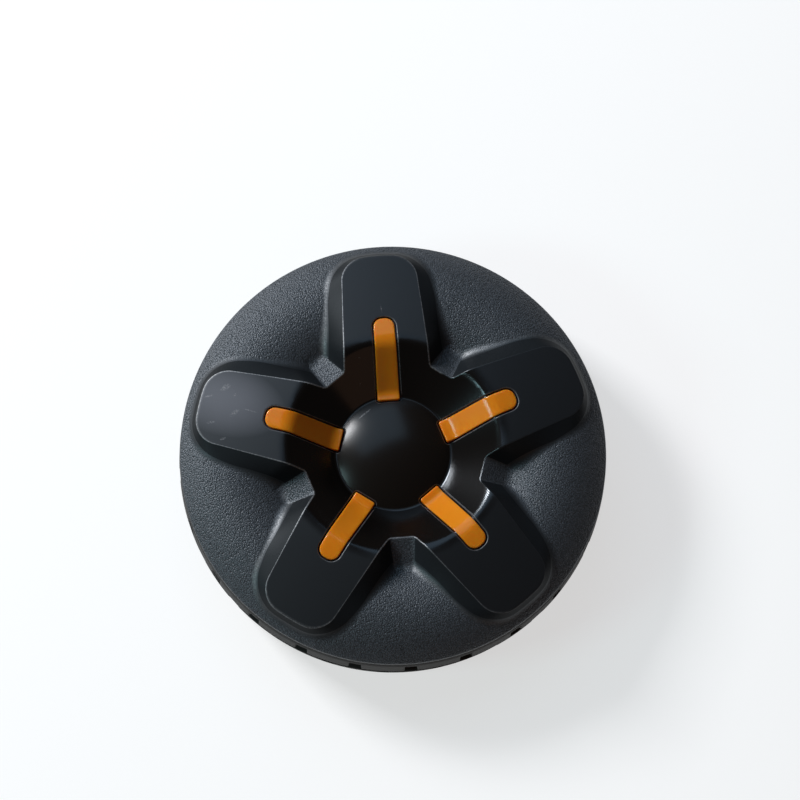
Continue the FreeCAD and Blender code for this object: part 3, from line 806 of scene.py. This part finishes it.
flankLooks = {
    "shader": {"Specular_IOR_Level": 0.13, "Specular_Tint": (0.86, 0.95, 1.0, 1)},
    "dark": (0.0070, 0.0085, 0.0100, 1), "light": (0.0095, 0.0105, 0.0120, 1), "rough": (0.46, 0.08),
    "cloud": (40.0, 3.0, 0.5), "grit": (1300.0, 1.0, 0.5), "bump": (0.08, 0.0002),
}
accentLooks = {
    "shader": {
        "IOR": 1.5, "Specular_IOR_Level": 0.33,
        "Subsurface_Weight": 0.5, "Subsurface_Radius": (1.0, 0.30, 0.08), "Subsurface_Scale": 0.006,
    },
    "dark": (0.61, 0.178, 0.007, 1), "light": (0.69, 0.206, 0.009, 1), "rough": (0.13, 0.07),
    "cloud": (90.0, 3.0, 0.6), "grit": (900.0, 1.0, 0.5), "bump": (0.05, 0.0002),
}
coreLooks = {
    "shader": {},
    "dark": (0.018, 0.018, 0.019, 1), "light": (0.030, 0.030, 0.032, 1), "rough": (0.45, 0.15),
    "cloud": (30.0, 3.0, 0.55), "grit": (480.0, 2.0, 0.5), "bump": (0.15, 0.0003),
}


def mouldedFinish(name, looks):
    # two close colours in soft clouds, with fine grit
    finish = Finish(name, **looks["shader"])
    cloud = finish.noise(*looks["cloud"])
    finish.set(
        Base_Color=finish.mix(cloud, looks["dark"], looks["light"]),
        Roughness=raised(cloud, *looks["rough"]),
        Normal=finish.bump(finish.noise(*looks["grit"]), *looks["bump"]),
    )
    return finish


rubberLooks = {
    "skinDark": (0.008, 0.008, 0.008, 1), "skinLight": (0.014, 0.014, 0.014, 1), "cloud": (35.0, 4.0, 0.6),
    "topDark": (0.011, 0.011, 0.011, 1), "topLight": (0.024, 0.023, 0.022, 1), "rub": (260.0, 3.0, 0.6),
    "rough": (0.60, 0.14), "cloudRough": 0.12, "grit": (700.0, 2.0, 0.6), "bump": (0.25, 0.0004),
}


def rubberFinish():
    looks = rubberLooks
    finish = Finish("tread_rubber")
    cloud = finish.noise(*looks["cloud"])
    tops = finish.attribute("tops")
    skin = finish.mix(cloud, looks["skinDark"], looks["skinLight"])
    rubbed = finish.mix(finish.noise(*looks["rub"]), looks["topDark"], looks["topLight"])
    finish.set(
        Base_Color=finish.mix(tops, skin, rubbed),
        Roughness=raised(tops, *looks["rough"]) + cloud * looks["cloudRough"],
        Normal=finish.bump(finish.noise(*looks["grit"]), *looks["bump"]),
    )
    return finish


steelLooks = {
    "dark": (0.42, 0.42, 0.41, 1), "light": (0.62, 0.62, 0.61, 1), "rough": (0.26, 0.14),
    "lines": (160.0, 3.0, 0.6), "stretch": (1.0, 1.0, 14.0), "bump": (0.12, 0.0002),
}
zincLooks = {
    "dark": (0.55, 0.56, 0.55, 1), "light": (0.74, 0.74, 0.72, 1), "rough": (0.30, 0.14),
    "lines": (160.0, 3.0, 0.6), "stretch": (3.0, 3.0, 3.0), "bump": (0.12, 0.0002),
}


def metalFinish(name, looks):
    finish = Finish(name, Metallic=1.0)
    stretched = finish.add("ShaderNodeMapping", {}, {"Vector": finish.place(), "Scale": looks["stretch"]})
    brushed = finish.noise(*looks["lines"], stretched)
    finish.set(
        Base_Color=finish.mix(brushed, looks["dark"], looks["light"]),
        Roughness=raised(brushed, *looks["rough"]),
        Normal=finish.bump(brushed, *looks["bump"]),
    )
    return finish


def paintNode(name, finish):
    mesh = nodes[name].data
    mesh.materials.clear()
    mesh.materials.append(finish.material)


cover = makeCover([coverFinish(), mouldedFinish("smooth_flank", flankLooks), domeFinish()])
cutSlots(cover)
addHooks(cover)
smoothShade(cover.data, coverForm["sharpDegrees"])
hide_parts("wheel_cover")
print("cover:", len(cover.data.polygons), "faces")
makeBars(mouldedFinish("orange_moulding", accentLooks))
print("bars made")
makeTread(rubberFinish())
paintNode("wheel_core", mouldedFinish("core_moulding", coreLooks))
paintNode("drive_bush", metalFinish("bush_steel", steelLooks))
zinc = metalFinish("zinc_plate", zincLooks)
for name in ("axle_washer", "spring_washer", "axle_nut"):
    paintNode(name, zinc)
print("finishes set")

# camera at the photograph's angle
cameraSet = {
    "target": (0.0, 0.0, 0.043), "distance": 1.033, "zenith": 11.6, "azimuth": 257.7, "pictureUp": 85.12,
    "focalPixels": 2200.0, "targetPixel": (393.8, 449.9), "imagePixels": 800.0,
    "sensor": 36.0, "clipEnd": 20,
}


def towards(azimuth, rise):
    # unit vector from degrees round the wheel's axis and above the floor
    turn, rise = math.radians(azimuth), math.radians(rise)
    return Vector((math.cos(rise) * math.cos(turn), math.cos(rise) * math.sin(turn), math.sin(rise)))


def makeCamera():
    data = bpy.data.cameras.new("photo_camera")
    camera = bpy.data.objects.new("photo_camera", data)
    bpy.context.scene.collection.objects.link(camera)
    back = towards(cameraSet["azimuth"], 90 - cameraSet["zenith"])
    right = towards(cameraSet["pictureUp"], 0).cross(back).normalized()
    up = back.cross(right)
    place = Vector(cameraSet["target"]) + back * cameraSet["distance"]
    camera.matrix_world = Matrix.Translation(place) @ Matrix((right, up, back)).transposed().to_4x4()
    data.sensor_width = cameraSet["sensor"]
    data.lens = cameraSet["focalPixels"] / cameraSet["imagePixels"] * cameraSet["sensor"]
    data.shift_x = 0.5 - cameraSet["targetPixel"][0] / cameraSet["imagePixels"]
    data.shift_y = cameraSet["targetPixel"][1] / cameraSet["imagePixels"] - 0.5
    data.clip_end = cameraSet["clipEnd"]
    bpy.context.scene.camera = camera


makeCamera()
print("camera placed")

# floor and soft studio light: each lamp's picture direction, height angle, distance, size, power and tint
studio = {
    "floorSize": 3.0, "floorHeight": -0.0002, "floorShade": (0.42, 0.42, 0.42, 1), "floorDim": 0.98,
    "floorCloud": (1.2, 2.0, 0.5), "floorRough": 0.85, "floorGlow": 0.62,
    "world": (0.060, 0.047, 0.040, 1),
    "lamps": {
        "key_box": (142, 31.5, 2.6, 0.7, 71.0, (0.98, 0.98, 1.0)),
        "sky_box": (114, 47, 2.2, 2.0, 13.0, (0.52, 0.76, 1.0)),
        "left_box": (194, 34, 2.4, 0.6, 11.0, (0.62, 0.97, 1.0)),
        "fill_box": (302, 20, 2.5, 1.8, 2.2, (1.0, 0.50, 0.28)),
    },
}


def makeFloor():
    size, low, light = studio["floorSize"], studio["floorHeight"], studio["floorShade"]
    dim = tuple(studio["floorDim"] * value for value in light[:3]) + (1,)
    finish = Finish("pale_floor", Roughness=studio["floorRough"], Emission_Color=(1, 1, 1, 1),
                    Emission_Strength=studio["floorGlow"])
    finish.set(Base_Color=finish.mix(finish.noise(*studio["floorCloud"]), light, dim))
    corners = np.array([(-size, -size, low), (size, -size, low), (size, size, low), (-size, size, low)]) / mm
    addPiece("studio_floor", corners, [(0, 1, 2, 3)], finish, None)


def makeLights():
    world = bpy.data.worlds.new("studio_world")
    bpy.context.scene.world = world
    world.use_nodes = True
    background = world.node_tree.nodes["Background"]
    background.inputs["Color"].default_value = studio["world"]
    for name, (direction, height, distance, width, power, tint) in studio["lamps"].items():
        data = bpy.data.lights.new(name, "AREA")
        data.size = width
        data.energy = power
        data.color = tint
        lamp = bpy.data.objects.new(name, data)
        toLamp = towards(direction + cameraSet["pictureUp"] - 90, height)
        lamp.location = toLamp * distance
        lamp.rotation_euler = toLamp.to_track_quat("Z", "Y").to_euler()
        bpy.context.scene.collection.objects.link(lamp)
    bpy.context.scene.view_settings.view_transform = "Standard"


makeFloor()
makeLights()
print("studio lit")
